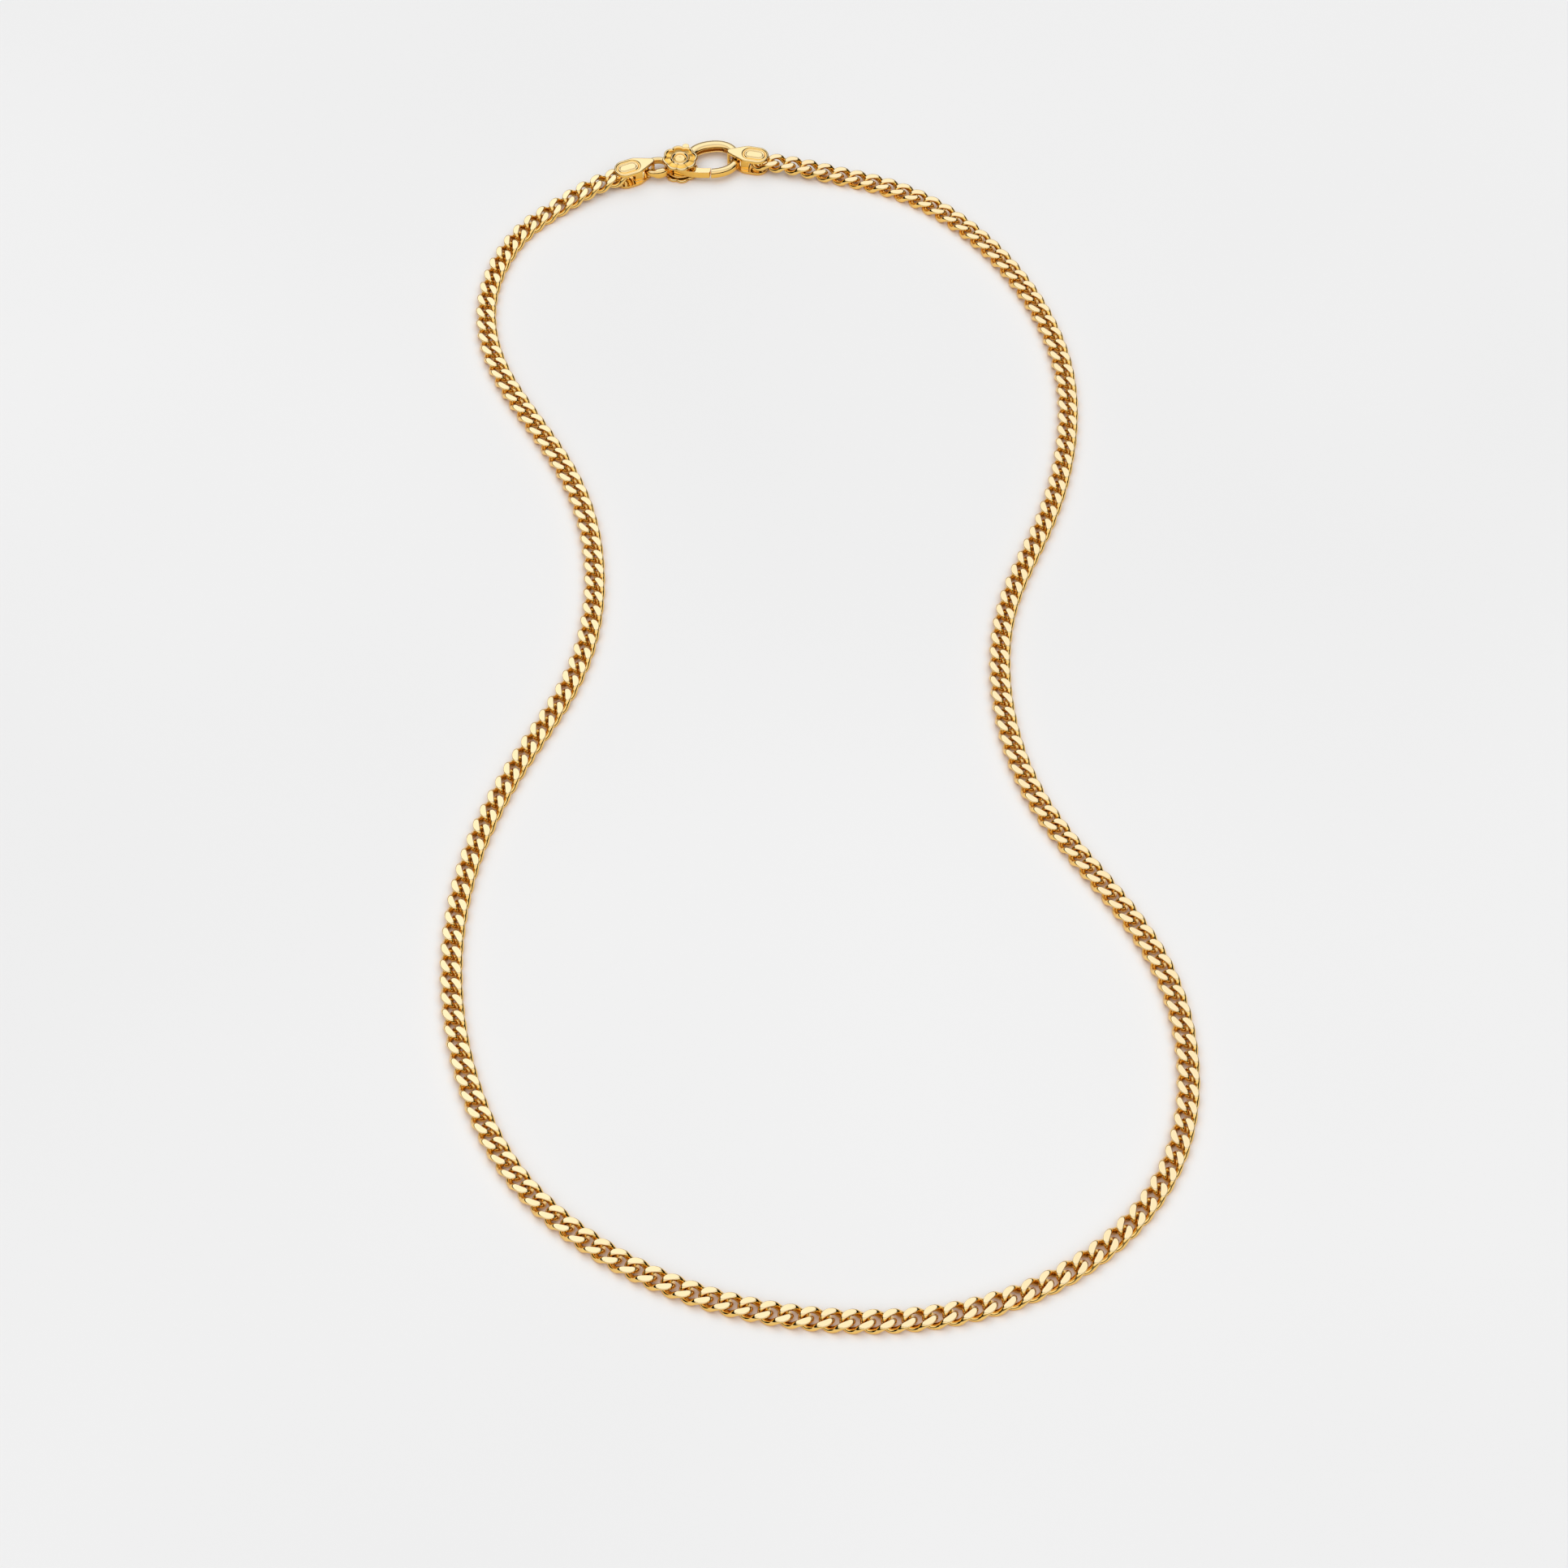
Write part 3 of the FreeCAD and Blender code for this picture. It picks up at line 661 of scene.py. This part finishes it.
def rosette_rings(low, high, raised):
    """Rings of a round scalloped plate with a worked face."""
    turn = np.linspace(0, 2 * math.pi, 480, endpoint=False)
    lobe = np.abs(np.cos(ROSETTE_LOBES / 2 * turn))
    edge = ROSETTE_RADIUS * (ROSETTE_VALLEY + (1 - ROSETTE_VALLEY) * lobe ** 0.8)
    petal = lobe ** 0.5

    def ring(share, height):
        blend = min(max((share - 0.45) / 0.35, 0), 1)
        radius = share * (edge * blend + ROSETTE_RADIUS * (1 - blend))
        return np.stack([radius * np.cos(turn), radius * np.sin(turn),
                         np.broadcast_to(height, turn.shape)], axis=1)

    rings = [ring(share, low) for share in (0.1, 0.5, 0.9)]
    rings += [ring(0.975, low + 0.05), ring(1.0, low + 0.15), ring(1.0, high - 0.3)]
    for share in np.linspace(0.995, 0.05, 70):
        rings.append(ring(share, high - rosette_height(share, petal, raised)))
    return rings


def make_rosettes(gold):
    """The top plate has a worked face and the bottom one a plain face."""
    for side, low, high in (("bottom", 0, CHEEK_LOW), ("top", CLASP_HEIGHT - CHEEK_LOW, CLASP_HEIGHT)):
        points, quads, fans = shell(rosette_rings(low, high, side == "top"))
        piece = mesh_object("rosette_" + side + "_plate", in_clasp(points), quads + fans)
        # Painted shade: the face darker the deeper it lies below the plate's top.
        below = np.clip((high - points[:, 2]) / 0.3, 0, 1)
        store_painted_shade(piece.data, SIDE_SHADE * below)
        hand_over(piece, "rosette_" + side, "clasp", gold)


def oval_relief(points, eye, turn):
    """Works two concentric ovals into a cap's top: a border line, and a raised panel inside it."""
    angle = math.radians(turn)
    centre = in_clasp([(*eye, 0)])[0]
    own = points - centre
    x = own[:, 0] * math.cos(angle) + own[:, 1] * math.sin(angle) - OVAL_X
    y = own[:, 1] * math.cos(angle) - own[:, 0] * math.sin(angle)
    straight = OVAL_HALF_LENGTH - OVAL_HALF_WIDTH
    inside = OVAL_HALF_WIDTH - np.hypot(np.maximum(np.abs(x) - straight, 0), y)
    on_top = (points[:, 2] > CAP_HEIGHT - 0.26) & (inside > -0.05)
    channel = np.clip(inside / 0.1, 0, 1) * np.clip((CHANNEL_WIDTH - inside) / 0.12, 0, 1)
    line = np.exp(-((inside - PANEL_LINE_IN) / 0.07) ** 2)
    sunk = np.where(on_top, CHANNEL_DEPTH * channel + PANEL_LINE_DEPTH * line, 0)
    moved = points.copy()
    moved[:, 2] = np.where(on_top, CAP_HEIGHT - sunk, points[:, 2])
    # The channel and the line take painted shade, three times as deep as they sink.
    return moved, 3 * sunk


def make_caps(gold):
    """Each cap keeps its node's shape, with the ovals worked into its top."""
    for side, (eye, turn) in CAPS.items():
        def relief(points):
            return oval_relief(points, eye, turn)
        copy = copy_of_node("end_cap_" + side, "end_cap_" + side + "_case")
        piece = cast(copy, CAP_CELL, 3, relief)
        hand_over(piece, "end_cap_" + side, "cap_" + side, gold)


def make_spring(steel):
    """The leaf spring from the hub to the lever's stem, fused into one skin and set in steel."""
    piece = cast(copy_of_node("lever_spring", "lever_leaf_spring"), SPRING_CELL, 2)
    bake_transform(piece)
    stand_for(piece, "lever_spring", steel)


def finish_pins(gold):
    """The pins keep their own shapes."""
    for node in ("lever_pin", "cap_pin_left", "cap_pin_right"):
        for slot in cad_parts[node].material_slots:
            slot.link = "OBJECT"
            slot.material = gold


# ---------------------------------------------------------------- stage

def make_floor():
    """A level plane just under the necklace."""
    corners = [(-1, -1), (1, -1), (1, 1), (-1, 1)]
    points = [(x * FLOOR_HALF / MM, y * FLOOR_HALF / MM, -0.02) for x, y in corners]
    floor = mesh_object("floor", points, [(0, 1, 2, 3)])
    floor.data.materials.append(pale_floor())


def make_overhead_lamp():
    """A broad lamp that lights the floor and stays out of the metal's reflections."""
    light = bpy.data.lights.new("overhead_lamp", "AREA")
    light.shape = "SQUARE"
    light.size = LAMP_SIZE
    light.energy = LAMP_WATTS
    lamp = new_object("overhead_lamp", light)
    lamp.location = LAMP_AT
    lamp.rotation_euler = (-Vector(LAMP_AT)).to_track_quat("-Z", "Y").to_euler()
    lamp.visible_glossy = False


def product(tree, first, second):
    node = tree.nodes.new("ShaderNodeMath")
    node.operation = "MULTIPLY"
    tree.links.new(first, node.inputs[0])
    tree.links.new(second, node.inputs[1])
    return node.outputs["Value"]


def window(tree, value, low, high, soft):
    """1 where a value lies between low and high, fading out over a soft edge."""
    parts = []
    for start, end in ((low - soft, low + soft), (high + soft, high - soft)):
        node = tree.nodes.new("ShaderNodeMapRange")
        node.interpolation_type = "SMOOTHSTEP"
        node.inputs["From Min"].default_value = start
        node.inputs["From Max"].default_value = end
        tree.links.new(value, node.inputs["Value"])
        parts.append(node.outputs["Result"])
    return product(tree, *parts)


def make_studio():
    """A sky of tones: a softbox behind and above, a fill in front, dark walls, black side flags."""
    world = bpy.data.worlds.new("studio")
    world.use_nodes = True
    bpy.context.scene.world = world
    tree = world.node_tree
    background = tree.nodes["Background"]
    direction = tree.nodes.new("ShaderNodeTexCoord").outputs["Generated"]
    split = tree.nodes.new("ShaderNodeSeparateXYZ")
    tree.links.new(direction, split.inputs["Vector"])
    room = ramp(tree, split.outputs["Z"], ROOM_TONES)
    box = ramp(tree, spread(tree, split.outputs["X"], 0, 1, -1, 1), SOFTBOX_TONES)
    low = window(tree, split.outputs["Z"], *FLAG_HEIGHTS)
    for span in (RIGHT_FLAG_SPAN, LEFT_FLAG_SPAN):
        flag = product(tree, low, window(tree, split.outputs["X"], *span))
        room = mixed(tree, flag, room, FLAG_TONE)
    front = product(tree, window(tree, split.outputs["Z"], *FILL_HEIGHTS),
                    window(tree, split.outputs["Y"], *FILL_DEPTHS))
    room = mixed(tree, front, room, FILL_TONE)
    inside = product(tree, window(tree, split.outputs["Z"], *SOFTBOX_HEIGHTS),
                     window(tree, split.outputs["Y"], *SOFTBOX_DEPTHS))
    inside = product(tree, inside, window(tree, split.outputs["X"], *SOFTBOX_SPAN))
    tree.links.new(mixed(tree, inside, room, box), background.inputs["Color"])
    background.inputs["Strength"].default_value = SKY_STRENGTH


def make_camera():
    camera = bpy.data.cameras.new("camera")
    camera.lens = CAMERA_LENS
    camera.sensor_width = 36
    camera.clip_start = 0.01
    camera.clip_end = 20
    holder = new_object("camera", camera)
    holder.location = CAMERA_FROM
    holder.rotation_euler = (CAMERA_TO - CAMERA_FROM).to_track_quat("-Z", "Y").to_euler()
    bpy.context.scene.camera = holder


# Each gold's last colour is its painted shade in recesses and on sides.
chain_gold = polished_gold("chain_gold_finish", (0.98, 0.79, 0.48), (0.97, 0.77, 0.45), (0.03, 0.09),
                           (0.94, 0.56, 0.09))
clasp_gold = polished_gold("clasp_gold_finish", (0.98, 0.78, 0.44), (0.97, 0.76, 0.40), (0.04, 0.10),
                           (0.91, 0.52, 0.09))
make_chain(chain_gold)
make_clasp_body(clasp_gold)
make_lever(clasp_gold)
make_rosettes(clasp_gold)
make_caps(clasp_gold)
make_spring(spring_steel())
finish_pins(clasp_gold)
make_floor()
make_studio()
make_overhead_lamp()
make_camera()
bpy.context.scene.view_settings.view_transform = "Standard"
